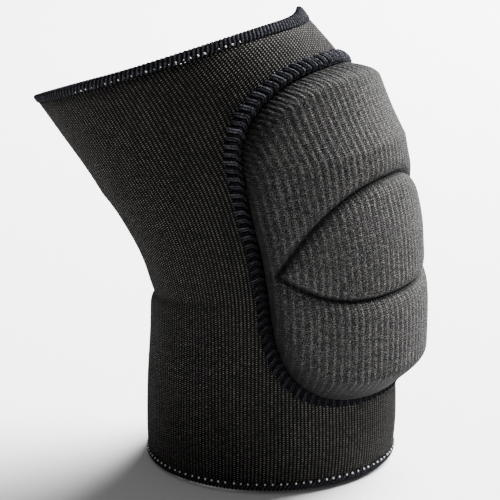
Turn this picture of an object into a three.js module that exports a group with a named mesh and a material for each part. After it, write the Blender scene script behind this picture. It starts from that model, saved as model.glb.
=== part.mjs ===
// A volleyball knee pad: a knitted sleeve bent as it is worn, edged with an overlocked hem
// at the shin and at the thigh, with a bordered foam pad over the front of the knee.
//
// Frame: millimetres, +Z up the shin, the pad's face towards -Y, X across the knee.
// The origin is the middle of the knee, where the shin's line meets the thigh's line.
// A place on the sleeve is an angle round it from the front, a length along its centre
// line from the shin hem, and a height off the knit's outer face.

import * as THREE from 'three';

// The sleeve
const SHIN_LENGTH = 112;
const THIGH_LENGTH = 92;
const KNEE_BEND = 38;
const BEND_RADIUS = 88;
const TUBE_RADIUS = 60;
const KNIT_THICKNESS = 2;
const SHIN_HEM_TILT = 0.6;
const THIGH_HEM_TILT = 19.3;
const THIGH_HEM_DIP = 1.7;

// The fold behind the knee
const FOLD_DROP = 24.8;
const FOLD_DEPTH = 2.6;
const FOLD_WIDTH = 3;
const FOLD_REACH = 110;

// The overlocked hems
const SHIN_HEM_HEIGHT = 3.8;
const THIGH_HEM_HEIGHT = 5;
const HEM_PROUD = 0.7;

// The pad's outline on the knit, and the overlocked border round it
const PAD_WIDTH = 140.5;
const PAD_HEIGHT = 151;
const PAD_DROP = 2.5;
const PAD_TOP_SQUARENESS = 2.9;
const PAD_FOOT_SQUARENESS = 3.4;
const BORDER_WIDTH = 6.5;
const BORDER_HEIGHT = 2.8;

// The cushions
const PAD_THICKNESS = 14.5;
const PAD_SIDE_BEVEL = 5;
const PAD_TOP_BEVEL = 7.5;
const PAD_FOOT_BEVEL = 7.5;
const CUSHION_RIM_HEIGHT = 2;
const KNEE_CUSHION_WIDTH = 117;
const KNEE_CUSHION_RISE = 28.6;
const KNEE_CUSHION_SAG = 18.4;
const KNEE_CUSHION_DROP = 10.2;
const KNEE_CUSHION_SWELL = 0.8;
const UPPER_GROOVE_SQUARENESS = 2.4;
const LOWER_GROOVE_SQUARENESS = 3.3;
const GROOVE_DEPTH = 4.5;
const GROOVE_SHOULDER = 7;

const CLEARANCE = 0.3;

// How finely each piece is faceted
const SLEEVE_SIDES = 60;
const PAD_SIDES = 72;
const GROOVE_SAMPLES = 40;

// Sections of the sleeve. along: share of its centre line, from the shin hem.
// side, front, back: half widths square to the centre line, as shares of TUBE_RADIUS.
const SECTIONS = [
  { along: 0.0, side: 0.98, front: 0.942, back: 0.986 },
  { along: 0.08, side: 0.985, front: 0.968, back: 0.997 },
  { along: 0.2, side: 0.983, front: 0.958, back: 0.987 },
  { along: 0.34, side: 0.982, front: 0.96, back: 0.95 },
  { along: 0.425, side: 0.993, front: 0.962, back: 0.943 },
  { along: 0.5, side: 1.014, front: 0.982, back: 0.96 },
  { along: 0.6, side: 1.031, front: 1.006, back: 1.008 },
  { along: 0.75, side: 1.024, front: 1.076, back: 1.012 },
  { along: 0.88, side: 1.009, front: 1.15, back: 1.062 },
  { along: 1.0, side: 0.999, front: 1.078, back: 1.106 },
];

// Thickness of the pad's face. along: share of half the pad's height, from its middle, up.
// thick: share of PAD_THICKNESS.
const PAD_SECTIONS = [
  { along: -1.0, thick: 0.975 },
  { along: -0.54, thick: 1.0 },
  { along: -0.27, thick: 0.85 },
  { along: 0.0, thick: 0.815 },
  { along: 0.27, thick: 0.735 },
  { along: 0.54, thick: 0.73 },
  { along: 0.82, thick: 0.79 },
  { along: 1.0, thick: 0.85 },
];

// Where the sleeve's facets lie. Rows crowd at the fold, so that it keeps its shape.
const SLEEVE_SHIN_ROWS = [0, 0.1, 0.28, 0.46, 0.64, 0.8];
const FOLD_ROWS = [-3, -1.6, -0.8, 0, 0.8, 1.6, 3];
const SLEEVE_THIGH_ROWS = [0.1, 0.22, 0.34, 0.46, 0.58, 0.72, 0.86, 1];

// Stations of the cushions' tops and undersides, from one edge to the other
const CUSHION_TOP = [0, 0.05, 0.14, 0.28, 0.46, 0.64, 0.8, 0.9, 0.96, 1];
const CUSHION_UNDERSIDE = [1, 0.88, 0.76, 0.64, 0.52, 0.4, 0.28, 0.14, 0];

// The border's section. across: share of its width from the outer edge; up: share of its height
const BORDER_SECTION = [
  { across: 0.0, up: 0.0 },
  { across: 0.0, up: 0.45 },
  { across: 0.22, up: 0.88 },
  { across: 0.6, up: 1.0 },
  { across: 0.9, up: 0.8 },
  { across: 1.0, up: 0.5 },
  { across: 1.0, up: 0.0 },
];

const BLACK_KNIT = { color: 0x1a1a1b, roughness: 0.92 };
const GREY_RIB_KNIT = { color: 0x2b2b2c, roughness: 0.9 };
const OVERLOCK_THREAD = { color: 0x16171c, roughness: 0.8 };

const radians = THREE.MathUtils.degToRad;
const mix = THREE.MathUtils.lerp;

// The centre line: straight up the shin, an arc through the knee, straight up the thigh
const bend = radians(KNEE_BEND);
const tangent = BEND_RADIUS * Math.tan(bend / 2);
const bendStart = SHIN_LENGTH - tangent;
const bendEnd = bendStart + BEND_RADIUS * bend;
const sleeveLength = bendEnd + THIGH_LENGTH - tangent;
const kneeMiddle = (bendStart + bendEnd) / 2;

/** A smooth curve through one column of a table: cubic pieces whose slopes are the
 *  average slopes to the neighbouring rows. */
function smooth(table, column, along) {
  const last = table.length - 1;
  const slope = (row) => {
    const before = table[Math.max(row - 1, 0)];
    const after = table[Math.min(row + 1, last)];
    return (after[column] - before[column]) / (after.along - before.along);
  };
  const x = THREE.MathUtils.clamp(along, table[0].along, table[last].along);
  let row = 0;
  while (row < last - 1 && x > table[row + 1].along) {
    row += 1;
  }
  const step = table[row + 1].along - table[row].along;
  const share = (x - table[row].along) / step;
  const ease = share * share * (3 - 2 * share);
  const leaving = share * (1 - share) * (1 - share) * step * slope(row);
  const arriving = share * share * (share - 1) * step * slope(row + 1);
  return mix(table[row][column], table[row + 1][column], ease) + leaving + arriving;
}

/** The centre line at a length from the shin hem: y, z and how far it leans back. */
function centreLine(along) {
  const turned = THREE.MathUtils.clamp((along - bendStart) / BEND_RADIUS, 0, bend);
  const before = Math.min(along, bendStart);
  const after = Math.max(along - bendEnd, 0);
  const y = BEND_RADIUS * (1 - Math.cos(turned)) + after * Math.sin(turned);
  const z = before + BEND_RADIUS * Math.sin(turned) + after * Math.cos(turned) - SHIN_LENGTH;
  return { y, z, lean: turned };
}

/** How deep the fold behind the knee is: a narrow dip, deepest at the back, that fades
 *  out FOLD_REACH degrees from there on either side. */
function foldDepth(angle, along) {
  const fromBack = Math.PI - Math.abs(angle);
  const fade = Math.max(Math.cos((fromBack / radians(FOLD_REACH)) * (Math.PI / 2)), 0);
  const across = (along - kneeMiddle + FOLD_DROP) / FOLD_WIDTH;
  return fromBack < radians(FOLD_REACH) ? FOLD_DEPTH * fade * Math.exp(-across * across) : 0;
}

/** A point on the sleeve: the section is two half ellipses, front and back, in a plane
 *  that tilts steadily from the shin hem's tilt to the thigh hem's. Towards the thigh
 *  hem the sides of the leg dip below that plane. */
function onSleeve(angle, along, height) {
  const dip = THIGH_HEM_DIP * Math.sin(angle) ** 2 * (along / sleeveLength) ** 3;
  const level = along - dip;
  const share = level / sleeveLength;
  const { y, z, lean } = centreLine(level);
  const tilt = mix(radians(SHIN_HEM_TILT), radians(THIGH_HEM_TILT), share);
  const off = height - foldDepth(angle, level);
  const facing = -Math.cos(angle);
  const depth = TUBE_RADIUS * smooth(SECTIONS, facing < 0 ? 'front' : 'back', share) + off;
  const reach = (depth * facing) / Math.cos(lean - tilt);
  const across = TUBE_RADIUS * smooth(SECTIONS, 'side', share) + off;
  return new THREE.Vector3(
    across * Math.sin(angle),
    y + reach * Math.cos(tilt),
    z - reach * Math.sin(tilt),
  );
}

/** A point over the pad's flat pattern: across from its middle line, up from its middle. */
function onPad(spot, height) {
  const along = kneeMiddle - PAD_DROP + spot.up;
  return onSleeve(spot.across / TUBE_RADIUS, along, height);
}

/** One closed outline on the flat pattern, at a turn about the pad's middle: a rounded
 *  rectangle with the given insets at its sides, top and foot. */
function outline(turn, inset) {
  const towardsTop = Math.sin(turn) > 0;
  const halfWidth = PAD_WIDTH / 2 - inset.side;
  const halfHeight = PAD_HEIGHT / 2 - (towardsTop ? inset.top : inset.foot);
  const power = towardsTop ? PAD_TOP_SQUARENESS : PAD_FOOT_SQUARENESS;
  const x = Math.abs(Math.cos(turn)) / halfWidth;
  const y = Math.abs(Math.sin(turn)) / halfHeight;
  return (x ** power + y ** power) ** (-1 / power);
}

function evenInset(inset) {
  return { side: inset, top: inset, foot: inset };
}

function outlineSpot(turn, inset) {
  const radius = outline(turn, inset);
  return { across: radius * Math.cos(turn), up: radius * Math.sin(turn) };
}

const cushionInset = evenInset(BORDER_WIDTH + CLEARANCE);
const faceInset = {
  side: BORDER_WIDTH + PAD_SIDE_BEVEL,
  top: BORDER_WIDTH + PAD_TOP_BEVEL,
  foot: BORDER_WIDTH + PAD_FOOT_BEVEL,
};

/** The groove round the knee cushion, at a turn about its middle: an arch above and a
 *  shallower one below, which meet in a point at either side. */
function grooveSpot(turn, inset) {
  const halfWidth = KNEE_CUSHION_WIDTH / 2 - inset;
  const across = halfWidth * Math.cos(turn);
  const share = Math.abs(Math.cos(turn));
  const above = (KNEE_CUSHION_RISE - inset) * (1 - share ** UPPER_GROOVE_SQUARENESS);
  const below = (KNEE_CUSHION_SAG - inset) * (1 - share ** LOWER_GROOVE_SQUARENESS);
  return { across, up: (Math.sin(turn) > 0 ? above : -below) - KNEE_CUSHION_DROP };
}

const grooveLine = Array.from({ length: 2 * GROOVE_SAMPLES }, (unused, index) =>
  grooveSpot((Math.PI * index) / GROOVE_SAMPLES, 0));

function distanceToGroove(spot) {
  const gaps = grooveLine.map((point) => Math.hypot(spot.across - point.across, spot.up - point.up));
  return Math.min(...gaps);
}

/** How far the cushions roll down to the groove: a quarter ellipse, steepest at it. */
function grooveRoll(spot) {
  const share = Math.min(distanceToGroove(spot) / GROOVE_SHOULDER, 1);
  return GROOVE_DEPTH * (1 - Math.sqrt(1 - (1 - share) ** 2));
}

/** The pad's thickness before the groove: it rises from the rim over the bevel and then
 *  follows the table up the face. */
function faceHeight(spot) {
  const turn = Math.atan2(spot.up, spot.across);
  const rim = outline(turn, cushionInset);
  const face = outline(turn, faceInset);
  const share = THREE.MathUtils.clamp((rim - Math.hypot(spot.across, spot.up)) / (rim - face), 0, 1);
  const full = PAD_THICKNESS * smooth(PAD_SECTIONS, 'thick', spot.up / (PAD_HEIGHT / 2));
  return mix(CUSHION_RIM_HEIGHT, full, Math.sin((share * Math.PI) / 2));
}

/** Turns the faces over where the enclosed volume comes out negative. */
function facedOutwards(points, faces) {
  const volume = faces.reduce((sum, [a, b, c]) => {
    const normal = new THREE.Vector3().crossVectors(points[b], points[c]);
    return sum + points[a].dot(normal);
  }, 0);
  return volume < 0 ? faces.map(([a, b, c]) => [a, c, b]) : faces;
}

function solid(name, points, faces, finish) {
  const geometry = new THREE.BufferGeometry().setFromPoints(points);
  geometry.setIndex(facedOutwards(points, faces).flat());
  geometry.computeVertexNormals();
  const mesh = new THREE.Mesh(geometry, new THREE.MeshStandardMaterial({ metalness: 0, ...finish }));
  mesh.name = name;
  return mesh;
}

/** A ring: a closed section of stations carried round in equal turns and joined to itself. */
function ring(name, sides, stations, place, finish) {
  const points = [];
  const faces = [];
  const corner = (side, station) =>
    (side % sides) * stations.length + (station % stations.length);
  for (let side = 0; side < sides; side += 1) {
    const turn = (2 * Math.PI * side) / sides - Math.PI;
    stations.forEach((station, index) => {
      points.push(place(turn, station));
      const here = corner(side, index);
      const along = corner(side + 1, index);
      const up = corner(side, index + 1);
      const both = corner(side + 1, index + 1);
      faces.push([here, along, both], [here, both, up]);
    });
  }
  return solid(name, points, faces, finish);
}

/** A lens: an open section carried round, whose first and last stations are each one point. */
function lens(name, sides, stations, place, finish) {
  const inner = stations.slice(1, -1);
  const points = [place(0, stations[0]), place(0, stations[stations.length - 1])];
  const faces = [];
  const corner = (side, station) => 2 + (side % sides) * inner.length + station;
  for (let side = 0; side < sides; side += 1) {
    const turn = (2 * Math.PI * side) / sides;
    inner.forEach((station, index) => {
      points.push(place(turn, station));
      if (index < inner.length - 1) {
        const here = corner(side, index);
        const both = corner(side + 1, index + 1);
        faces.push([here, corner(side + 1, index), both], [here, both, corner(side, index + 1)]);
      }
    });
    faces.push([0, corner(side + 1, 0), corner(side, 0)]);
    faces.push([1, corner(side, inner.length - 1), corner(side + 1, inner.length - 1)]);
  }
  return solid(name, points, faces, finish);
}

/** The knitted tube between the hems: its outer face up, its inner face back down. */
function sleeve() {
  const foot = SHIN_HEM_HEIGHT + CLEARANCE;
  const top = sleeveLength - THIGH_HEM_HEIGHT - CLEARANCE;
  const fold = kneeMiddle - FOLD_DROP;
  const rows = [
    ...SLEEVE_SHIN_ROWS.map((share) => mix(foot, fold, share)),
    ...FOLD_ROWS.map((share) => fold + share * FOLD_WIDTH),
    ...SLEEVE_THIGH_ROWS.map((share) => mix(fold, top, share)),
  ];
  const outer = rows.map((along) => ({ along, height: 0 }));
  const inner = rows.map((along) => ({ along, height: -KNIT_THICKNESS })).reverse();
  const place = (angle, station) => onSleeve(angle, station.along, station.height);
  return ring('sleeve', SLEEVE_SIDES, [...outer, ...inner], place, BLACK_KNIT);
}

/** An overlocked edge: a band as thick as the knit at its edges and prouder along its middle. */
function hem(name, from, to) {
  const middle = (from + to) / 2;
  const stations = [
    { along: from, height: 0 },
    { along: middle, height: HEM_PROUD },
    { along: to, height: 0 },
    { along: to, height: -KNIT_THICKNESS },
    { along: middle, height: -KNIT_THICKNESS - HEM_PROUD },
    { along: from, height: -KNIT_THICKNESS },
  ];
  const place = (angle, station) => onSleeve(angle, station.along, station.height);
  return ring(name, SLEEVE_SIDES, stations, place, OVERLOCK_THREAD);
}

/** The overlocked seam that holds the pad's cover to the sleeve, laid on the knit. */
function padBorder() {
  const place = (turn, station) => {
    const spot = outlineSpot(turn, evenInset(station.across * BORDER_WIDTH));
    return onPad(spot, mix(CLEARANCE, BORDER_HEIGHT, station.up));
  };
  return ring('pad_border', PAD_SIDES, BORDER_SECTION, place, OVERLOCK_THREAD);
}

/** The big foam cushion: it surrounds the knee cushion and fills the border. */
function padCushion() {
  const stations = [
    ...CUSHION_TOP.map((share) => ({ share, top: true })),
    ...CUSHION_UNDERSIDE.map((share) => ({ share, top: false })),
  ];
  const place = (turn, station) => {
    const groove = grooveSpot(turn, -CLEARANCE);
    const rim = outlineSpot(turn, cushionInset);
    const spot = {
      across: mix(groove.across, rim.across, station.share),
      up: mix(groove.up, rim.up, station.share),
    };
    return onPad(spot, station.top ? faceHeight(spot) - grooveRoll(spot) : CLEARANCE);
  };
  return ring('pad_cushion', PAD_SIDES, stations, place, GREY_RIB_KNIT);
}

/** The lens-shaped cushion over the kneecap, in its own pocket in the big one. */
function kneeCushion() {
  const stations = [
    ...CUSHION_TOP.map((share) => ({ share, top: true })),
    ...CUSHION_UNDERSIDE.map((share) => ({ share, top: false })),
  ];
  const middle = { across: 0, up: (KNEE_CUSHION_RISE - KNEE_CUSHION_SAG) / 2 - KNEE_CUSHION_DROP };
  const place = (turn, station) => {
    const edge = grooveSpot(turn, CLEARANCE);
    const spot = {
      across: mix(middle.across, edge.across, station.share),
      up: mix(middle.up, edge.up, station.share),
    };
    const swell = KNEE_CUSHION_SWELL * (1 - station.share ** 2);
    return onPad(spot, station.top ? faceHeight(spot) + swell - grooveRoll(spot) : CLEARANCE);
  };
  return lens('knee_cushion', PAD_SIDES / 2, stations, place, GREY_RIB_KNIT);
}

const kneePad = new THREE.Group();
kneePad.add(
  sleeve(),
  hem('shin_hem', 0, SHIN_HEM_HEIGHT),
  hem('thigh_hem', sleeveLength - THIGH_HEM_HEIGHT, sleeveLength),
  padBorder(),
  padCushion(),
  kneeCushion(),
);

export default kneePad;
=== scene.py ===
import math

import bpy
import numpy as np
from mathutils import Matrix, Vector


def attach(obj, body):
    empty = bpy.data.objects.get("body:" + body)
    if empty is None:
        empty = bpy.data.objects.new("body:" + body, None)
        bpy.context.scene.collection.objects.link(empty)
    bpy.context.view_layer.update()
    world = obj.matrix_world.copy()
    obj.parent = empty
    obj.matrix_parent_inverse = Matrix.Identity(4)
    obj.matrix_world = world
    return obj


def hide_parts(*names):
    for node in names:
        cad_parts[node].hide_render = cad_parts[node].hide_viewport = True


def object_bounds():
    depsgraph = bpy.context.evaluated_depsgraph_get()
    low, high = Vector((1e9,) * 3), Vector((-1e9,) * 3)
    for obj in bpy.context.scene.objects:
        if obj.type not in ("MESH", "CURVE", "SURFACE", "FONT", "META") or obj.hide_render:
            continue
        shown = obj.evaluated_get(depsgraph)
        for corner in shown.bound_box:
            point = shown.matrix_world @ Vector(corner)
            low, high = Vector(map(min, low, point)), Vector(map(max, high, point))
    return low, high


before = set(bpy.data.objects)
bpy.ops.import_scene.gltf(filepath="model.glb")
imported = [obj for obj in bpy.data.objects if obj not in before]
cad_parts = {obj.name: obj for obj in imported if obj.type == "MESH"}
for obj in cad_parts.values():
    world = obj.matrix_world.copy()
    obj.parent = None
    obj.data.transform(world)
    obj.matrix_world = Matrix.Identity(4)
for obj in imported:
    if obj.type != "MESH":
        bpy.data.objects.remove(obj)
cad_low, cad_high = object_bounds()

# The view. A lens about a metre away looks a little down on the knee pad from its front
# left, so that the pad's face shows in three quarter view and the back of the knee is at
# the left.
VIEW_AZIMUTH = math.radians(-59.0)
VIEW_ELEVATION = math.radians(15.4)
VIEW_DISTANCE = 1.02
VIEW_AIM = Vector((0.0, 0.0126, -0.0164))
FRAME_WIDTH_AT_AIM = 0.2345
SENSOR = 36.0


def set_up(thing, aim, azimuth, elevation, distance):
    """A camera or a lamp stands back from its aim and faces it. The line back goes to a
    bearing, turned from the pad's face towards +X, and a height above level."""
    back = Vector((
        math.sin(azimuth) * math.cos(elevation),
        -math.cos(azimuth) * math.cos(elevation),
        math.sin(elevation),
    ))
    thing.location = aim + back * distance
    thing.rotation_euler = (-back).to_track_quat("-Z", "Y").to_euler()
    bpy.context.scene.collection.objects.link(thing)


def look_from_the_front_left():
    """The lens is the sensor's width times the distance over the width seen at the aim."""
    data = bpy.data.cameras.new("view")
    data.sensor_width = SENSOR
    data.lens = SENSOR * VIEW_DISTANCE / FRAME_WIDTH_AT_AIM
    camera = bpy.data.objects.new("view", data)
    set_up(camera, VIEW_AIM, VIEW_AZIMUTH, VIEW_ELEVATION, VIEW_DISTANCE)
    bpy.context.scene.camera = camera


look_from_the_front_left()

# The sleeve. A circular knit tube of black elastic yarn with a warm grey plating yarn,
# bent as it sits on a knee: straight up the shin, an arc, straight up the thigh. It is
# knitted in the round, so it has no seam; the cloth creases once behind the knee.
MM = 0.001
SHIN_LENGTH = 112.0
THIGH_LENGTH = 92.0
KNEE_BEND = math.radians(38.0)
BEND_RADIUS = 88.0
TUBE_RADIUS = 60.0
KNIT_THICKNESS = 2.0
SHIN_HEM_TILT = math.radians(0.6)
THIGH_HEM_TILT = math.radians(19.3)
THIGH_HEM_DIP = 1.7
SHIN_HEM_HEIGHT = 3.8
THIGH_HEM_HEIGHT = 5.0
# Columns: share along the centre line; half widths to the side, front and back, as
# shares of the tube's radius.
SLEEVE_SECTIONS = np.array([
    (0.00, 0.980, 0.942, 0.986),
    (0.08, 0.985, 0.968, 0.997),
    (0.20, 0.983, 0.958, 0.987),
    (0.34, 0.982, 0.960, 0.950),
    (0.425, 0.993, 0.962, 0.943),
    (0.50, 1.014, 0.982, 0.960),
    (0.60, 1.031, 1.006, 1.008),
    (0.75, 1.024, 1.076, 1.012),
    (0.88, 1.009, 1.150, 1.062),
    (1.00, 0.999, 1.078, 1.106),
])
SIDE, FRONT, BACK = 1, 2, 3
TANGENT = BEND_RADIUS * math.tan(KNEE_BEND / 2)
BEND_START = SHIN_LENGTH - TANGENT
BEND_END = BEND_START + BEND_RADIUS * KNEE_BEND
SLEEVE_LENGTH = BEND_END + THIGH_LENGTH - TANGENT
KNEE_MIDDLE = (BEND_START + BEND_END) / 2
FOLD_DROP = 24.8
FOLD_DEPTH = 2.6
FOLD_LIP = 2.2
FOLD_RUN = 5.0
FOLD_REACH = math.radians(110.0)
FOLD_SHADE = 0.8
PEAK_RISE = 4.4
PEAK_BEARING = math.radians(29.0)
PEAK_SPREAD = math.radians(18.0)
PEAK_FROM = 184.5
WALES = 212
COURSES_PER_ROUND = 165
COURSE_PITCH = 0.97
WALE_RELIEF = 0.09
STEPS_PER_WALE = 4
# Rows of the outer face: up to just below the fold, into it, out of it, and to the top.
OUTER_ROWS = (18, 10, 9, 22)
BELOW_FOLD = 10.0
ABOVE_FOLD = 14.0
INNER_ROWS = 20


def smooth(table, column, share):
    """A curve through one column of a table, against its first column: cubic pieces
    whose slope at each row is the slope between that row's neighbours."""
    x, y = table[:, 0], table[:, column]
    last = len(x) - 1
    after = np.minimum(np.arange(last + 1) + 1, last)
    before = np.maximum(np.arange(last + 1) - 1, 0)
    slope = (y[after] - y[before]) / (x[after] - x[before])
    share = np.clip(share, x[0], x[-1])
    row = np.clip(np.searchsorted(x, share, side="right") - 1, 0, last - 1)
    step = x[row + 1] - x[row]
    s = (share - x[row]) / step
    ease = s * s * (3 - 2 * s)
    leaving = s * (1 - s) ** 2 * step * slope[row]
    arriving = s * s * (s - 1) * step * slope[row + 1]
    return y[row] * (1 - ease) + y[row + 1] * ease + leaving + arriving


def centre_line(along):
    """The tube's middle at a length from the shin hem: y and z, and how far it leans.
    The turn goes from 0 to the knee's bend over the arc; y is what the arc and then the
    leaning thigh go back, z what they rise."""
    turn = np.clip((along - BEND_START) / BEND_RADIUS, 0, KNEE_BEND)
    after = np.maximum(along - BEND_END, 0)
    y = BEND_RADIUS * (1 - np.cos(turn)) + after * np.sin(turn)
    z = np.minimum(along, BEND_START) + BEND_RADIUS * np.sin(turn) + after * np.cos(turn)
    return y, z - SHIN_LENGTH, turn


def fold_behind_the_knee(angle, along):
    """The crease's depth: it falls off exponentially, fast below it and slowly above,
    and fades round the tube as a cosine from the back."""
    from_back = np.minimum((np.pi - np.abs(angle)) / FOLD_REACH, 1)
    up = along - (KNEE_MIDDLE - FOLD_DROP)
    width = np.where(up < 0, FOLD_LIP, FOLD_RUN)
    return FOLD_DEPTH * np.cos(from_back * np.pi / 2) * np.exp(-np.abs(up) / width)


def on_sleeve(angle, along, height):
    """A point off the knit's face: two half ellipses, front and back, in a plane whose
    tilt goes steadily from the shin hem's to the thigh hem's; near the thigh hem the
    sides of the leg dip below it, as the sine squared times the share cubed. Beside the
    front the thigh hem is pulled up to a peak, a bell curve round the tube that grows as
    the square of the way up from the pad."""
    pulled = np.clip((along - PEAK_FROM) / (SLEEVE_LENGTH - PEAK_FROM), 0, 1) ** 2
    peak = PEAK_RISE * np.exp(-(((angle - PEAK_BEARING) / PEAK_SPREAD) ** 2)) * pulled
    dip = THIGH_HEM_DIP * np.sin(angle) ** 2 * (along / SLEEVE_LENGTH) ** 3
    level = along - dip + peak
    share = level / SLEEVE_LENGTH
    y, z, lean = centre_line(level)
    tilt = SHIN_HEM_TILT * (1 - share) + THIGH_HEM_TILT * share
    off = height - fold_behind_the_knee(angle, level)
    facing = -np.cos(angle)
    half = np.where(
        facing < 0, smooth(SLEEVE_SECTIONS, FRONT, share), smooth(SLEEVE_SECTIONS, BACK, share)
    )
    reach = (TUBE_RADIUS * half + off) * facing / np.cos(lean - tilt)
    across = (TUBE_RADIUS * smooth(SLEEVE_SECTIONS, SIDE, share) + off) * np.sin(angle)
    return np.stack([across, y + reach * np.cos(tilt), z - reach * np.sin(tilt)], -1)


def normals_of(points, rows_join):
    """Unit normals of a grid of points whose columns run round: the cross product of the
    differences along a row and down a column."""
    across = np.roll(points, -1, 1) - np.roll(points, 1, 1)
    if rows_join:
        down = np.roll(points, -1, 0) - np.roll(points, 1, 0)
    else:
        down = np.gradient(points, axis=0)
    normal = np.cross(across, down)
    return normal / np.maximum(np.linalg.norm(normal, axis=-1, keepdims=True), 1e-9)


def piece_of(name, points, corners, sides):
    """A smooth piece from points in millimetres, the corners of all its faces in one run,
    and how many sides each face has."""
    mesh = bpy.data.meshes.new(name)
    mesh.vertices.add(len(points))
    mesh.vertices.foreach_set("co", (points * MM).ravel())
    mesh.loops.add(len(corners))
    mesh.loops.foreach_set("vertex_index", corners)
    mesh.polygons.add(len(sides))
    mesh.polygons.foreach_set("loop_start", np.cumsum(sides) - sides)
    mesh.polygons.foreach_set("use_smooth", np.ones(len(sides), bool))
    mesh.update(calc_edges=True)
    piece = bpy.data.objects.new(name, mesh)
    bpy.context.scene.collection.objects.link(piece)
    return piece


def skin(name, points, cloth, shade, rows_join=True):
    """A closed skin over a grid of points in millimetres: columns run round and join, and
    rows join too, or else the first and last row are each one point. cloth gives each
    corner's place in the cloth, with one more row and column than the points have, and
    shade how much light gets down to each point."""
    rows, columns = points.shape[:2]
    row, column = np.meshgrid(
        np.arange(rows if rows_join else rows - 1), np.arange(columns), indexing="ij"
    )
    corners = np.stack([
        np.stack([row, column], -1),
        np.stack([row, column + 1], -1),
        np.stack([row + 1, column + 1], -1),
        np.stack([row + 1, column], -1),
    ], 2).reshape(-1, 4, 2)
    vertex = (corners[..., 0] % rows) * columns + corners[..., 1] % columns
    if not rows_join:
        vertex = np.where(corners[..., 0] == 0, 0, vertex)
        vertex = np.where(corners[..., 0] == rows - 1, (rows - 1) * columns, vertex)
    place = points.reshape(-1, 3)
    first, second, third, fourth = (place[vertex[:, k]] for k in range(4))
    tip = np.cross(second, third) + np.cross(third, fourth)
    if np.einsum("ij,ij->i", first, tip).sum() < 0:
        vertex, corners = vertex[:, ::-1], corners[:, ::-1]
    keep = vertex != np.roll(vertex, 1, axis=1)
    used, renumbered = np.unique(vertex[keep], return_inverse=True)
    piece = piece_of(name, place[used], renumbered, keep.sum(1))
    where = piece.data.uv_layers.new(name="cloth")
    at = corners[keep]
    where.data.foreach_set("uv", cloth[at[:, 0], at[:, 1]].astype(np.float32).ravel())
    light = piece.data.attributes.new("shade", "FLOAT", "POINT")
    shade = np.broadcast_to(shade, points.shape[:2]).reshape(-1)[used]
    light.data.foreach_set("value", shade.astype(np.float32))
    return piece


def spread(stops, steps):
    """Stations from the first stop to the last, with so many even steps to each next."""
    ends = zip(stops, stops[1:], steps)
    runs = [np.linspace(start, stop, count, endpoint=False) for start, stop, count in ends]
    return np.concatenate(runs + [[stops[-1]]])


def knit_tube():
    """The outer face from hem to hem and the inner face back, as one closed section
    carried round the leg. Each wale stands up as a cosine ridge on the outer face. Less
    light gets into the fold, by the square of its depth."""
    foot, top = SHIN_HEM_HEIGHT, SLEEVE_LENGTH - THIGH_HEM_HEIGHT
    fold = KNEE_MIDDLE - FOLD_DROP
    outer = spread((foot, fold - BELOW_FOLD, fold, fold + ABOVE_FOLD, top), OUTER_ROWS)
    inner = np.linspace(top, foot, INNER_ROWS)
    along = np.concatenate([outer, inner])
    height = np.concatenate([np.zeros(len(outer)), np.full(len(inner), -KNIT_THICKNESS)])
    columns = WALES * STEPS_PER_WALE
    angle = np.linspace(-np.pi, np.pi, columns, endpoint=False)
    round_, up = np.meshgrid(angle, along)
    outside = height[:, None] == 0
    ridge = WALE_RELIEF * np.cos(WALES * round_) * outside
    points = on_sleeve(round_, up, height[:, None] + ridge)
    wale = np.arange(columns + 1) / STEPS_PER_WALE
    course = np.append(along, along[0]) / COURSE_PITCH
    cloth = np.stack(np.meshgrid(wale, course), -1)
    crease = fold_behind_the_knee(round_, up) / FOLD_DEPTH * outside
    return skin("sleeve_knit", points, cloth, 1 - FOLD_SHADE * crease ** 2)


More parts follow.
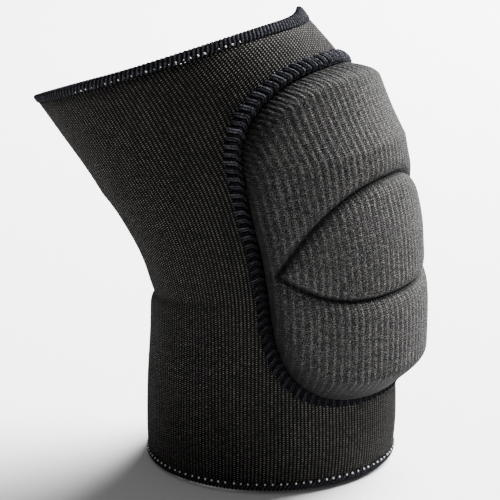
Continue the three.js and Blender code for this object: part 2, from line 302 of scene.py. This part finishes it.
class Finish:
    """A material under way: a node tree with a Principled shader, and short ways to add
    nodes to it."""

    def __init__(self, name, roughness, specular):
        self.material = bpy.data.materials.new(name)
        self.material.use_nodes = True
        self.tree = self.material.node_tree
        self.shader = self.tree.nodes["Principled BSDF"]
        self.shader.inputs["Roughness"].default_value = roughness
        self.shader.inputs["Specular IOR Level"].default_value = specular

    def put(self, socket, value):
        """Links a socket to an input, or sets the input to a value."""
        if isinstance(value, bpy.types.NodeSocket):
            self.tree.links.new(value, socket)
        else:
            socket.default_value = value

    def add(self, kind, *inputs, **settings):
        """A node with its settings and its first inputs, each a value or a socket."""
        made = self.tree.nodes.new("ShaderNode" + kind)
        for setting, value in settings.items():
            setattr(made, setting, value)
        for socket, value in zip(made.inputs, inputs):
            self.put(socket, value)
        return made

    def math(self, operation, *inputs):
        """One sum of a Math node, on values or sockets."""
        return self.add("Math", *inputs, operation=operation).outputs[0]

    def times(self, *values):
        """The product of all the values."""
        product = values[0]
        for value in values[1:]:
            product = self.math("MULTIPLY", product, value)
        return product

    def wave(self, value):
        """0 at whole numbers of the value and 1 half way between them."""
        turned = self.math("MULTIPLY", value, 2 * math.pi)
        return self.math("MULTIPLY_ADD", self.math("COSINE", turned), -0.5, 0.5)

    def span(self, value, gives, between=(0.0, 1.0)):
        """What lies between two values, spread evenly over the two that it gives."""
        return self.add("MapRange", value, *between, *gives).outputs[0]

    def noise(self, vector, scale, detail=1.0):
        """Soft noise, with so many lumps to a metre."""
        made = self.add("TexNoise")
        self.put(made.inputs["Vector"], vector)
        self.put(made.inputs["Scale"], scale)
        self.put(made.inputs["Detail"], detail)
        return made.outputs["Fac"]

    def chance(self, first, second):
        """A number from 0 to 1, another for each pair of whole numbers."""
        cell = self.add("CombineXYZ", self.math("FLOOR", first), self.math("FLOOR", second))
        made = self.add("TexWhiteNoise", noise_dimensions="2D")
        self.put(made.inputs["Vector"], cell.outputs[0])
        return made.outputs["Value"]

    def cloth(self):
        """The place in the cloth, as two numbers, the place in space and the shade."""
        parts = self.add("SeparateXYZ", self.add("UVMap", uv_map="cloth").outputs[0]).outputs
        space = self.add("TexCoord").outputs["Object"]
        shade = self.add("Attribute", attribute_name="shade").outputs["Fac"]
        return parts[0], parts[1], space, shade

    def colour(self, share, low, high):
        """The base colour: a mix of two by a share."""
        made = self.add("Mix", data_type="RGBA")
        colours = [socket for socket in made.inputs if socket.type == "RGBA"]
        self.put(made.inputs[0], share)
        self.put(colours[0], low)
        self.put(colours[1], high)
        mixed = [socket for socket in made.outputs if socket.type == "RGBA"][0]
        self.put(self.shader.inputs["Base Color"], mixed)

    def relief(self, height, depth):
        """Bump of a given depth in millimetres, set on the shader."""
        bump = self.add("Bump")
        self.put(bump.inputs["Distance"], depth * MM)
        self.put(bump.inputs["Height"], height)
        self.put(self.shader.inputs["Normal"], bump.outputs[0])

    def dress(self, piece):
        """Gives the material to a piece."""
        piece.data.materials.append(self.material)
        return piece


YARN_BLACK = (0.0028, 0.0027, 0.0027, 1)
YARN_WARM_GREY = (0.136, 0.126, 0.114, 1)
WALE_SHARPNESS = 0.5
LOOP_SHARPNESS = 4.0
LOOP_RELIEF = 0.4
RARENESS_OF_BRIGHT_LOOPS = 2.0
PLATING_SHOWN = (0.75, 1.4)


def plain_knit():
    """Slanted loops on a lattice of wales and courses: a ridge across each wale times a
    ridge along each course. The courses spiral up as they are knitted, some whole number
    of them for once round. The plating yarn shows on top of each loop, by chance more on
    some than on others, and more or less in the fibres and in broad patches."""
    finish = Finish("plain_knit", roughness=0.8, specular=0.03)
    wale, course, space, shade = finish.cloth()
    wale = finish.math("ADD", wale, 0.5)
    slanted = finish.math("MULTIPLY_ADD", wale, -COURSES_PER_ROUND / WALES, course)
    ridge = finish.math("POWER", finish.wave(wale), WALE_SHARPNESS)
    loop = finish.times(ridge, finish.wave(slanted))
    chance = finish.math("POWER", finish.chance(wale, slanted), RARENESS_OF_BRIGHT_LOOPS)
    plated = finish.span(chance, gives=PLATING_SHOWN)
    fibres = finish.noise(space, scale=1900.0)
    patches = finish.noise(space, scale=25.0, detail=2.0)
    shown = finish.times(
        finish.math("POWER", loop, LOOP_SHARPNESS),
        plated,
        finish.span(fibres, between=(0.38, 0.64), gives=(0.3, 1.5)),
        finish.span(patches, between=(0.3, 0.7), gives=(0.75, 1.2)),
        shade,
    )
    finish.colour(shown, YARN_BLACK, YARN_WARM_GREY)
    finish.relief(loop, LOOP_RELIEF)
    return finish


sleeve = plain_knit().dress(knit_tube())
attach(sleeve, "root")
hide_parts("sleeve")

# The hems. Each cut edge of the knit is wrapped by an overlock machine: a dense band of
# blue black looper threads that lie aslant over the edge, held along the band's inner
# edge by a needle thread of which a white dot shows in each stitch.
HEM_PROUD = 0.7
HEM_THREADS = 190
HEM_SLANT = 1.8
HEM_ROUNDNESS = 0.8
HEM_RELIEF = 0.45
HEM_ROWS = 24
HEM_STEPS_PER_THREAD = 6
HEM_GAP_LIGHT = 0.1
HEM_CREST_LIGHT = 0.32
HEM_EDGE_LIGHT = 0.2
# The share of a thread's ridge that lies at its band's own height.
RIDGE_LEVEL = 0.7


def squared_off(wave):
    """A sine or cosine to a power, with its sign kept, which squares a round section."""
    return np.sign(wave) * np.abs(wave) ** HEM_ROUNDNESS


def hem_band(name, low, high):
    """A band with a rounded section round the cut edge. The threads are cosine ridges
    whose crests drift round the leg as they cross the section. The light on them goes up
    as the cube of the ridge, and less of it gets to the band's two edges."""
    turn = np.linspace(0, 2 * np.pi, HEM_ROWS, endpoint=False)
    middle, half = (low + high) / 2, (high - low) / 2
    thick = KNIT_THICKNESS / 2 + HEM_PROUD
    along = middle - half * squared_off(np.cos(turn))
    height = thick * squared_off(np.sin(turn)) - KNIT_THICKNESS / 2
    columns = HEM_THREADS * HEM_STEPS_PER_THREAD
    angle = np.linspace(-np.pi, np.pi, columns, endpoint=False)
    round_, up = np.meshgrid(angle, along)
    points = on_sleeve(round_, up, height[:, None])
    drift = HEM_SLANT / 2 * np.cos(turn)[:, None]
    ridge = np.abs(np.cos(np.pi * (HEM_THREADS * round_ / (2 * np.pi) + drift)))
    relief = HEM_RELIEF * (ridge - RIDGE_LEVEL)
    points = points + relief[..., None] * normals_of(points, True)
    thread, over = np.meshgrid(
        np.arange(columns + 1) / HEM_STEPS_PER_THREAD, np.arange(HEM_ROWS + 1) / HEM_ROWS
    )
    cloth = np.stack([thread + HEM_SLANT / 2 * np.cos(2 * np.pi * over), over], -1)
    to_edges = HEM_EDGE_LIGHT + (1 - HEM_EDGE_LIGHT) * np.abs(np.sin(turn))[:, None]
    return skin(name, points, cloth, (HEM_GAP_LIGHT + HEM_CREST_LIGHT * ridge ** 3) * to_edges)


SHIN_STITCH = 3.75
SHIN_DOTS_IN = 0.6
SHIN_DOTS_SHOWN = (0.0, math.pi)
THIGH_STITCH = 3.1
THIGH_DOTS_IN = 1.3
THIGH_DOTS_SHOWN = (math.radians(32.0), math.radians(105.0))
DOT_LENGTH = 1.15
DOT_WIDTH = 0.95
DOT_HEIGHT = 0.55
DOT_WANDER = 0.12
BALL_SIDES = 8
BALL_RINGS = 4


def ball():
    """A ball one across: rings of points between two poles, the corners of its faces in
    one run, and how many sides each face has."""
    round_, tilt = np.meshgrid(
        np.linspace(0, 2 * np.pi, BALL_SIDES, endpoint=False),
        np.linspace(-np.pi / 2, np.pi / 2, BALL_RINGS + 2)[1:-1],
    )
    rings = np.stack([
        np.sin(tilt), np.cos(tilt) * np.cos(round_), np.cos(tilt) * np.sin(round_)
    ], -1).reshape(-1, 3)
    points = np.vstack([rings, [(-1, 0, 0), (1, 0, 0)]]) / 2
    side = np.arange(BALL_SIDES)
    after = (side + 1) % BALL_SIDES
    low = np.arange(BALL_RINGS - 1)[:, None] * BALL_SIDES
    high = low + BALL_SIDES
    last = len(rings) - BALL_SIDES
    first_pole, last_pole = np.full(BALL_SIDES, len(rings)), np.full(BALL_SIDES, len(rings) + 1)
    walls = np.stack([low + side, low + after, high + after, high + side], -1)
    first_cap = np.stack([first_pole, after, side], -1)
    last_cap = np.stack([last_pole, last + side, last + after], -1)
    corners = np.concatenate([walls.ravel(), first_cap.ravel(), last_cap.ravel()])
    sides = np.repeat([4, 3], [walls.size // 4, 2 * BALL_SIDES])
    return points, corners, sides


def needle_dots(name, line, pitch, shown, unevenness, seed):
    """White dots along a hem's inner edge, one in each stitch between two bearings from
    the front, uneven in size: balls stretched along the thread."""
    count = round(2 * np.pi * TUBE_RADIUS / pitch)
    angle = np.linspace(-np.pi, np.pi, count, endpoint=False)
    chance = np.random.default_rng(seed)
    angle = angle + chance.uniform(-DOT_WANDER, DOT_WANDER, count) * 2 * np.pi / count
    angle = angle[(np.abs(angle) >= shown[0]) & (np.abs(angle) <= shown[1])]
    count = len(angle)
    nudge = 0.01
    centre = on_sleeve(angle, np.full(count, line), DOT_HEIGHT)
    ahead = on_sleeve(angle + nudge, np.full(count, line), DOT_HEIGHT) - centre
    upward = on_sleeve(angle, np.full(count, line + 1), DOT_HEIGHT) - centre
    ahead /= np.linalg.norm(ahead, axis=1, keepdims=True)
    upward /= np.linalg.norm(upward, axis=1, keepdims=True)
    size = (1 - unevenness * chance.uniform(0, 1, count))[:, None]
    axes = np.stack([
        upward * DOT_LENGTH * size,
        ahead * DOT_WIDTH * size,
        np.cross(upward, ahead) * DOT_WIDTH * size,
    ], 1)
    points, corners, sides = ball()
    every_point = centre[:, None, :] + np.einsum("ka,nab->nkb", points, axes)
    every_corner = np.arange(count)[:, None] * len(points) + corners
    return piece_of(name, every_point.reshape(-1, 3), every_corner.ravel(), np.tile(sides, count))


THREAD_BLACK = (0.0018, 0.0018, 0.0022, 1)
THREAD_BLUE_GREY = (0.068, 0.069, 0.081, 1)
THREAD_WHITE = (0.75, 0.74, 0.71, 1)
THREAD_SHADE = (0.4, 0.4, 0.39, 1)
# Painted light on the threads: the colour's share in the gaps between threads, where painted shade
# falls, and on their crests, where a highlight is painted.
THREAD_CREST_PAINTED_LIGHT = (0.1, 1.2)
FIBRE_RELIEF = 0.5


def overlock_thread():
    """Twisted polyester: blue black, with painted light along each thread: a painted highlight on
    its crest and painted shade in the gaps between threads.
    """
    finish = Finish("overlock_thread", roughness=0.7, specular=0.0)
    thread, over, space, shade = finish.cloth()
    # Painted highlight on each thread's crest, painted shade in the gaps between threads.
    painted_crest_light = finish.span(finish.wave(finish.math("ADD", thread, 0.5)), gives=THREAD_CREST_PAINTED_LIGHT)
    fibres = finish.noise(space, scale=1500.0)
    shown = finish.times(painted_crest_light, finish.span(fibres, between=(0.38, 0.64), gives=(0.2, 1.4)), shade)
    finish.colour(shown, THREAD_BLACK, THREAD_BLUE_GREY)
    finish.relief(fibres, FIBRE_RELIEF)
    return finish


def white_thread():
    """White polyester, greyer between its fibres."""
    finish = Finish("white_thread", roughness=0.6, specular=0.3)
    fibres = finish.noise(finish.add("TexCoord").outputs["Object"], scale=2500.0)
    finish.colour(fibres, THREAD_SHADE, THREAD_WHITE)
    return finish


thread_finish = overlock_thread()
white_finish = white_thread()
thigh_hem_line = SLEEVE_LENGTH - THIGH_HEM_HEIGHT
shin_hem = thread_finish.dress(hem_band("shin_hem_thread", 0.0, SHIN_HEM_HEIGHT))
thigh_hem = thread_finish.dress(hem_band("thigh_hem_thread", thigh_hem_line, SLEEVE_LENGTH))
shin_dots = needle_dots(
    "shin_hem_dots",
    line=SHIN_HEM_HEIGHT - SHIN_DOTS_IN,
    pitch=SHIN_STITCH,
    shown=SHIN_DOTS_SHOWN,
    unevenness=0.3,
    seed=1,
)
thigh_dots = needle_dots(
    "thigh_hem_dots",
    line=thigh_hem_line + THIGH_DOTS_IN,
    pitch=THIGH_STITCH,
    shown=THIGH_DOTS_SHOWN,
    unevenness=0.75,
    seed=2,
)
for hem, node in ((shin_hem, "shin_hem"), (thigh_hem, "thigh_hem")):
    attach(hem, "root")
    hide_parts(node)
for dots in (shin_dots, thigh_dots):
    white_finish.dress(dots)
    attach(dots, "root")

# The pad's border. The cover of the pad is overlocked to the sleeve all round: bundles of
# three looper threads cross the seam aslant, each bundle over the foot of the last, and
# lock in small chevrons along the pad's side of the seam.
PAD_WIDTH = 140.5
PAD_HEIGHT = 151.0
PAD_DROP = 2.5
PAD_TOP_SQUARENESS = 2.9
PAD_FOOT_SQUARENESS = 3.4
BORDER_WIDTH = 6.5
BORDER_HEIGHT = 2.8
BORDER_SHOULDER = 0.4
BORDER_SQUARENESS = 2.6
CLEARANCE = 0.3
BUNDLES = 126
THREADS_PER_BUNDLE = 3
STEPS_PER_BUNDLE = 20
BUNDLE_SLANT = 0.3
CHEVRON_FROM = 0.62
CHEVRON_SLANT = 0.5
BUNDLE_RELIEF = 1.8
BUNDLE_SCALLOP = 0.9
BUNDLE_SKEW = 1.2
BUNDLE_SHARPNESS = 1.1
BUNDLE_UNEVENNESS = 0.4
BUNDLE_SEED = 3
KNUCKLE_MIDDLE = 0.36
KNUCKLE_REACH = 0.42
FOOT_FLATTENING = 0.5
LOOPER_RELIEF = 0.32
BORDER_SIDE_LIGHT = 0.35
BORDER_TOP_LIGHT = 0.85
BUNDLE_GAP_LIGHT = 0.15
BUNDLE_CREST_LIGHT = 0.95
BUNDLE_LIGHT_SHARPNESS = 1.5
OUTLINE_CHORDS = 4000
# Shares of the border's width, from the sleeve's side: over its top, and back under.
BORDER_OVER = np.linspace(0, 1, 19)
BORDER_UNDER = [1.0, 0.66, 0.33, 0.0]


def outline(turn, side, top, foot):
    """The radius of a rounded rectangle on the flat pattern, inset at its sides, top and
    foot: a superellipse whose power is the top's above the middle, the foot's below."""
    upper = np.sin(turn) > 0
    half_width = PAD_WIDTH / 2 - side
    half_height = PAD_HEIGHT / 2 - np.where(upper, top, foot)
    power = np.where(upper, PAD_TOP_SQUARENESS, PAD_FOOT_SQUARENESS)
    x, y = np.abs(np.cos(turn)) / half_width, np.abs(np.sin(turn)) / half_height
    return (x ** power + y ** power) ** (-1 / power)


def on_pad(across, up, height):
    """A point off the knit over the flat pattern: across from the pad's middle line, and
    up from its middle."""
    return on_sleeve(across / TUBE_RADIUS, KNEE_MIDDLE - PAD_DROP + up, height)


def even_turns(count, inset):
    """Turns about the pad's middle that part its outline into equal lengths, read off the
    running length of many short chords."""
    fine = np.linspace(0, 2 * np.pi, OUTLINE_CHORDS + 1)
    radius = outline(fine, inset, inset, inset)
    steps = np.hypot(np.diff(radius * np.cos(fine)), np.diff(radius * np.sin(fine)))
    length = np.concatenate([[0], np.cumsum(steps)])
    return np.interp(np.arange(count) / count * length[-1], length, fine)


def border_seam():
    """A low rounded section carried round the outline. Along a thread the lean goes
    steadily round the outline and then turns back, which makes the chevrons. A bundle
    swells as a sine across it, more or less by chance, and as a half ellipse along it, a
    knuckle on the sleeve's side of the seam, and its foot scallops the edge. Less light
    reaches it at the pad's sides than at its top, and least below the pad, which bulges
    over it and where it lies flatter."""
    share = np.concatenate([BORDER_OVER, BORDER_UNDER])
    on_top = np.arange(len(share)) < len(BORDER_OVER)
    arch = 1 - np.abs(2 * share - 1) ** BORDER_SQUARENESS
    up = np.where(on_top, BORDER_SHOULDER + (1 - BORDER_SHOULDER) * arch, 0.0)
    lean = np.where(
        share < CHEVRON_FROM,
        BUNDLE_SLANT * share / CHEVRON_FROM,
        BUNDLE_SLANT - CHEVRON_SLANT * (share - CHEVRON_FROM) / (1 - CHEVRON_FROM),
    )
    columns = BUNDLES * STEPS_PER_BUNDLE
    bundle = np.arange(columns)[None, :] / STEPS_PER_BUNDLE + lean[:, None]
    chance = np.random.default_rng(BUNDLE_SEED).uniform(0, 1, BUNDLES)
    swell = (1 - BUNDLE_UNEVENNESS * chance)[bundle.astype(int) % BUNDLES]
    lobe = np.sin(np.pi * (bundle % 1) ** BUNDLE_SKEW) ** BUNDLE_SHARPNESS * swell
    looper = np.abs(np.sin(np.pi * THREADS_PER_BUNDLE * bundle))
    foot = BUNDLE_SCALLOP * (1 - lobe) * (1 - share[:, None]) ** 2
    round_, inset = np.meshgrid(even_turns(columns, BORDER_WIDTH / 2), share * BORDER_WIDTH)
    inset = inset + foot
    radius = outline(round_, inset, inset, inset)
    flat = 1 - FOOT_FLATTENING * np.clip(-np.sin(round_), 0, 1)
    height = CLEARANCE + (BORDER_HEIGHT - CLEARANCE) * up[:, None] * flat
    points = on_pad(radius * np.cos(round_), radius * np.sin(round_), height)
    knuckle = np.sqrt(np.clip(1 - ((share - KNUCKLE_MIDDLE) / KNUCKLE_REACH) ** 2, 0, 1))
    lobe = lobe * (1 + knuckle[:, None]) / 2
    relief = BUNDLE_RELIEF * (lobe - 0.5) * flat + LOOPER_RELIEF * (looper - RIDGE_LEVEL)
    relief = np.maximum(relief, CLEARANCE / 2 - height) * on_top[:, None]
    points = points + relief[..., None] * normals_of(points, True)
    at = np.arange(columns + 1)[None, :] / STEPS_PER_BUNDLE + np.append(lean, lean[0])[:, None]
    over = np.append(share, 0.0)[:, None] + 0 * at
    cloth = np.stack([at * THREADS_PER_BUNDLE + 0.5, over], -1)
    lit = (BORDER_SIDE_LIGHT + BORDER_TOP_LIGHT * np.clip(np.sin(round_), 0, 1)) * flat
    shade = (BUNDLE_GAP_LIGHT + BUNDLE_CREST_LIGHT * lobe ** BUNDLE_LIGHT_SHARPNESS) * lit
    return skin("pad_border_thread", points, cloth, shade)


border = thread_finish.dress(border_seam())
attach(border, "root")
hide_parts("pad_border")

# The cushions. Soft foam under a dark grey ribbed knit: a big cushion that fills the
# border, and a lens-shaped one over the kneecap, parted by a groove where the cover is
# stitched down between them. The ribs run up the pad.
PAD_THICKNESS = 14.5
PAD_SIDE_BEVEL = 5.0
PAD_TOP_BEVEL = 7.5
PAD_FOOT_BEVEL = 7.5
CUSHION_RIM_HEIGHT = 2.0
CUSHION_INSET = BORDER_WIDTH + CLEARANCE
KNEE_CUSHION_WIDTH = 117.0
KNEE_CUSHION_RISE = 28.6
KNEE_CUSHION_SAG = 18.4
KNEE_CUSHION_DROP = 10.2
KNEE_CUSHION_SWELL = 0.8
UPPER_GROOVE_SQUARENESS = 2.4
LOWER_GROOVE_SQUARENESS = 3.3
GROOVE_DEPTH = 4.5
GROOVE_SHOULDER = 7.0
GROOVE_GAP = 0.12
GROOVE_CHORDS = 720
CHORD_BATCHES = 24
FOOT_OVERHANG = 3.6
FOOT_LIFT = 0.5
FOOT_SHARPNESS = 1.5
RIB_PITCH = 3.0
RIB_COURSE = 0.97
RIB_RELIEF = 0.24
RIB_VALLEY_SHARPNESS = 3
RIB_FADE = 3.0
# The share of a rib's relief that lies above the foam's face.
RIB_LEVEL = 0.3
PUCKERS = 180
PUCKER_RELIEF = 0.36
PUCKER_FADE = 0.7
PUCKER_SPREAD = 1.6
PULL_PITCH = 1.7
PULL_REACH = 2.6
PULL_RELIEF = 0.12
# Columns: share of half the pad's height, from its middle up; share of its thickness.
PAD_SECTIONS = np.array([
    (-1.0, 0.975), (-0.54, 1.0), (-0.27, 0.85), (0.0, 0.815),
    (0.27, 0.735), (0.54, 0.73), (0.82, 0.79), (1.0, 0.85),
])
# The light that gets to the groove and to the rim, how far in from each it is full, and
# how much more the crest of a pucker or a pulled line gets.
GROOVE_LIGHT = 0.1
UPPER_GROOVE_SHADE = 3.2
LOWER_GROOVE_SHADE = 1.8
EDGE_LIGHT = 0.12
EDGE_SHADE = 11.5
PUCKER_LIGHT = 0.65
PULL_LIGHT = 0.45


def groove_line(turn, inset):
    """The groove's line, at a turn about the lens: an arch above and a shallower one
    below, each one minus a power of the share across, that meet in a point."""
    share = np.abs(np.cos(turn))
    above = (KNEE_CUSHION_RISE - inset) * (1 - share ** UPPER_GROOVE_SQUARENESS)
    below = (KNEE_CUSHION_SAG - inset) * (1 - share ** LOWER_GROOVE_SQUARENESS)
    across = (KNEE_CUSHION_WIDTH / 2 - inset) * np.cos(turn)
    return across, np.where(np.sin(turn) > 0, above, -below) - KNEE_CUSHION_DROP


def distance_to_groove(across, up):
    """The gap to the nearest of many points along the groove's line, taken in batches."""
    line = np.stack(groove_line(np.linspace(0, 2 * np.pi, GROOVE_CHORDS + 1), 0.0), -1)
    spots = np.stack([across.ravel(), up.ravel()], -1)
    nearest = np.full(len(spots), np.inf)
    for part in np.array_split(line, CHORD_BATCHES):
        gap = np.hypot(spots[:, None, 0] - part[:, 0], spots[:, None, 1] - part[:, 1])
        nearest = np.minimum(nearest, gap.min(1))
    return nearest.reshape(across.shape)


def foam_height(across, up):
    """The foam's height off the knit before the groove, how far up the bevel that is and
    how far in from the rim: a quarter sine up the bevel, times the table up the face."""
    turn, radius = np.arctan2(up, across), np.hypot(across, up)
    rim = outline(turn, CUSHION_INSET, CUSHION_INSET, CUSHION_INSET)
    side, top, foot = (
        BORDER_WIDTH + bevel for bevel in (PAD_SIDE_BEVEL, PAD_TOP_BEVEL, PAD_FOOT_BEVEL)
    )
    share = np.clip((rim - radius) / (rim - outline(turn, side, top, foot)), 0, 1)
    full = PAD_THICKNESS * smooth(PAD_SECTIONS, 1, up / (PAD_HEIGHT / 2))
    height = CUSHION_RIM_HEIGHT + (full - CUSHION_RIM_HEIGHT) * np.sin(share * np.pi / 2)
    return height, share, rim - radius


def cushion(name, across, up, top, swell, rows_join):
    """A closed cushion from its spots on the flat pattern: the top rows lie at the foam's
    height, less a quarter ellipse that rolls down to the groove, with the ribs on them.
    A rib has a broad crest and a narrow valley, and lies flat where it is stitched down.
    The cover puckers where the border gathers it, above the middle, pulls into a few fine
    lines beside the groove, and at the foot hangs over the border. Less light gets down
    to the groove and to the rim."""
    gap = distance_to_groove(across, up)
    near = 1 - np.minimum(gap / GROOVE_SHOULDER, 1)
    foam, bevel, inset = foam_height(across, up)
    turn = np.arctan2(up, across)
    hang = np.clip(-np.sin(turn), 0, 1) ** FOOT_SHARPNESS * (1 - bevel) ** 2 * top[:, None]
    foam = foam - GROOVE_DEPTH * (1 - np.sqrt(1 - near ** 2)) + swell + FOOT_LIFT * hang
    height = np.where(top[:, None], foam, CLEARANCE)
    points = on_pad(across, up - FOOT_OVERHANG * hang, height)
    valley = (0.5 - 0.5 * np.cos(2 * np.pi * across / RIB_PITCH)) ** RIB_VALLEY_SHARPNESS
    ribs = RIB_RELIEF * (RIB_LEVEL - valley) * np.minimum(gap / RIB_FADE, 1) * bevel
    gathered = (1 - bevel) ** PUCKER_FADE * np.clip(np.sin(turn) * PUCKER_SPREAD, 0, 1)
    pucker = np.cos(PUCKERS * turn) * gathered
    pull = np.cos(2 * np.pi * gap / PULL_PITCH) * np.exp(-gap / PULL_REACH)
    relief = (ribs + PUCKER_RELIEF * pucker + PULL_RELIEF * pull) * top[:, None]
    points = points + relief[..., None] * -normals_of(points, rows_join)
    groove_shade = np.where(up > -KNEE_CUSHION_DROP, UPPER_GROOVE_SHADE, LOWER_GROOVE_SHADE)
    shade = GROOVE_LIGHT + (1 - GROOVE_LIGHT) * np.minimum(gap / groove_shade, 1)
    shade = shade * (EDGE_LIGHT + (1 - EDGE_LIGHT) * np.clip(inset / EDGE_SHADE, 0, 1))
    shade = shade * (1 + PUCKER_LIGHT * pucker + PULL_LIGHT * pull)
    across = np.vstack([across, across[:1]])
    up = np.vstack([up, up[:1]])
    cloth = np.stack([across / RIB_PITCH, up / RIB_COURSE], -1)
    cloth = np.concatenate([cloth, cloth[:, :1]], 1)
    return skin(name, points, cloth, shade, rows_join)


CUSHION_COLUMNS = 900
CUSHION_ROWS_UNDER = 9
# Rows beside the groove, up to the first share of the way out, and then on to the rim.
PAD_ROWS_BESIDE_GROOVE = 30
PAD_ROWS_TO_RIM = (33, 15)
PAD_ROW_SHARES = (0.25, 0.8, 1.0)
# Rows out from the lens's middle, and beside the groove over the last share of the way.
LENS_ROWS = 28
LENS_ROWS_BESIDE_GROOVE = 22
LENS_EDGE_SHARE = 0.2


def big_cushion():
    """Rings of spots between the groove's line and the rim, over the top and back under,
    close together beside the groove, where their shares go up as a square."""
    beside = np.linspace(0, 1, PAD_ROWS_BESIDE_GROOVE) ** 2 * PAD_ROW_SHARES[0]
    over = np.concatenate([beside, spread(PAD_ROW_SHARES, PAD_ROWS_TO_RIM)[1:]])
    share = np.concatenate([over, np.linspace(1, 0, CUSHION_ROWS_UNDER)])[:, None]
    top = np.arange(len(share)) < len(over)
    turn = np.linspace(0, 2 * np.pi, CUSHION_COLUMNS, endpoint=False)
    groove = groove_line(turn, -GROOVE_GAP)
    radius = outline(turn, CUSHION_INSET, CUSHION_INSET, CUSHION_INSET)
    across = groove[0] + (radius * np.cos(turn) - groove[0]) * share
    up = groove[1] + (radius * np.sin(turn) - groove[1]) * share
    return cushion("pad_cushion_cover", across, up, top, 0.0, True)


def lens_cushion():
    """Rings of spots that grow from the lens's middle to its edge, close together there,
    and shrink back under. It swells by one minus the square of the way out."""
    out = np.linspace(0, 1 - LENS_EDGE_SHARE, LENS_ROWS)
    beside = 1 - np.linspace(1, 0, LENS_ROWS_BESIDE_GROOVE)[1:] ** 2 * LENS_EDGE_SHARE
    over = np.concatenate([out, beside])
    share = np.concatenate([over, np.linspace(1, 0, CUSHION_ROWS_UNDER)[1:]])[:, None]
    top = np.arange(len(share)) < len(over)
    turn = np.linspace(0, 2 * np.pi, CUSHION_COLUMNS, endpoint=False)
    edge = groove_line(turn, GROOVE_GAP)
    middle = (KNEE_CUSHION_RISE - KNEE_CUSHION_SAG) / 2 - KNEE_CUSHION_DROP
    across = edge[0] * share
    up = middle + (edge[1] - middle) * share
    swell = KNEE_CUSHION_SWELL * (1 - share ** 2)
    return cushion("knee_cushion_cover", across, up, top, swell, False)


RIB_BLACK = (0.003, 0.003, 0.003, 1)
RIB_GREY = (0.09, 0.0875, 0.085, 1)
WALES_PER_RIB = 2.0
RIB_WANDER = 0.08
STITCH_DROOP = 0.4
VALLEY_SHARPNESS = 5.0
# Painted shade: the share of the grey left in a rib's valley.
PAINTED_LIGHT_IN_VALLEY = 0.28
BETWEEN_LOOPS = 0.28
RIB_YARN_SHOWN = (0.6, 1.2)


def rib_knit():
    """A one and one rib: a wale on each crest and one in each valley, with courses across.
    The yarn's grey shows on each loop, by chance more on some, and more or less in the
    fibres. The valleys are darkened with painted shade. The ribs wander a little."""
    finish = Finish("rib_knit", roughness=0.8, specular=0.04)
    rib, course, space, shade = finish.cloth()
    bends = finish.noise(space, scale=90.0, detail=2.0)
    rib = finish.math(
        "ADD", rib, finish.span(bends, between=(0.3, 0.7), gives=(-RIB_WANDER, RIB_WANDER))
    )
    valley = finish.math("POWER", finish.wave(rib), VALLEY_SHARPNESS)
    wale = finish.math("MULTIPLY_ADD", rib, WALES_PER_RIB, 0.5)
    stitch = finish.wave(wale)
    slanted = finish.math("MULTIPLY_ADD", stitch, STITCH_DROOP, course)
    loop = finish.times(stitch, finish.wave(slanted))
    fibres = finish.noise(space, scale=2300.0)
    shown = finish.times(
        finish.span(loop, gives=(BETWEEN_LOOPS, 1.0)),
        # Painted shade in the rib's valleys.
        finish.span(valley, gives=(1.0, PAINTED_LIGHT_IN_VALLEY)),
        finish.span(finish.chance(wale, slanted), gives=RIB_YARN_SHOWN),
        finish.span(fibres, between=(0.45, 0.63), gives=(0.05, 2.1)),
        shade,
    )
    finish.colour(shown, RIB_BLACK, RIB_GREY)
    finish.relief(loop, LOOP_RELIEF)
    return finish


rib_finish = rib_knit()
for cover, node in ((big_cushion(), "pad_cushion"), (lens_cushion(), "knee_cushion")):
    rib_finish.dress(cover)
    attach(cover, "root")
    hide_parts(node)

# The studio. A plain pale floor just under the shin hem, a large soft key from the
# right, a soft fill from the left and above, and pale light all round.
FLOOR_GAP = 0.0006
FLOOR_HALF = 6.0
FLOOR_GREY = 0.62
WORLD_LIGHT = 0.26
KNEE = Vector((0.0, 0.0, 0.0))


def floor():
    """A level square, a gap below the lowest point of the solids."""
    height = cad_low.z - FLOOR_GAP
    corners = [
        (x * FLOOR_HALF, y * FLOOR_HALF, height) for x, y in ((-1, -1), (1, -1), (1, 1), (-1, 1))
    ]
    mesh = bpy.data.meshes.new("floor")
    mesh.from_pydata(corners, [], [(0, 1, 2, 3)])
    piece = bpy.data.objects.new("floor", mesh)
    bpy.context.scene.collection.objects.link(piece)
    finish = Finish("pale_floor", roughness=0.9, specular=0.2)
    finish.shader.inputs["Base Color"].default_value = (FLOOR_GREY, FLOOR_GREY, FLOOR_GREY, 1)
    finish.dress(piece)


def soft_light(name, azimuth, elevation, distance, size, power):
    """A square area light that faces the knee from a bearing and a height in degrees."""
    data = bpy.data.lights.new(name, "AREA")
    data.size = size
    data.energy = power
    lamp = bpy.data.objects.new(name, data)
    set_up(lamp, KNEE, math.radians(azimuth), math.radians(elevation), distance)


def pale_world():
    """White light from every side."""
    world = bpy.data.worlds.new("studio")
    world.use_nodes = True
    background = world.node_tree.nodes["Background"]
    background.inputs["Color"].default_value = (1, 1, 1, 1)
    background.inputs["Strength"].default_value = WORLD_LIGHT
    bpy.context.scene.world = world


floor()
soft_light("key", azimuth=77.0, elevation=44.0, distance=3.0, size=2.4, power=1300.0)
soft_light("fill", azimuth=-75.0, elevation=25.0, distance=3.0, size=1.5, power=6.0)
pale_world()
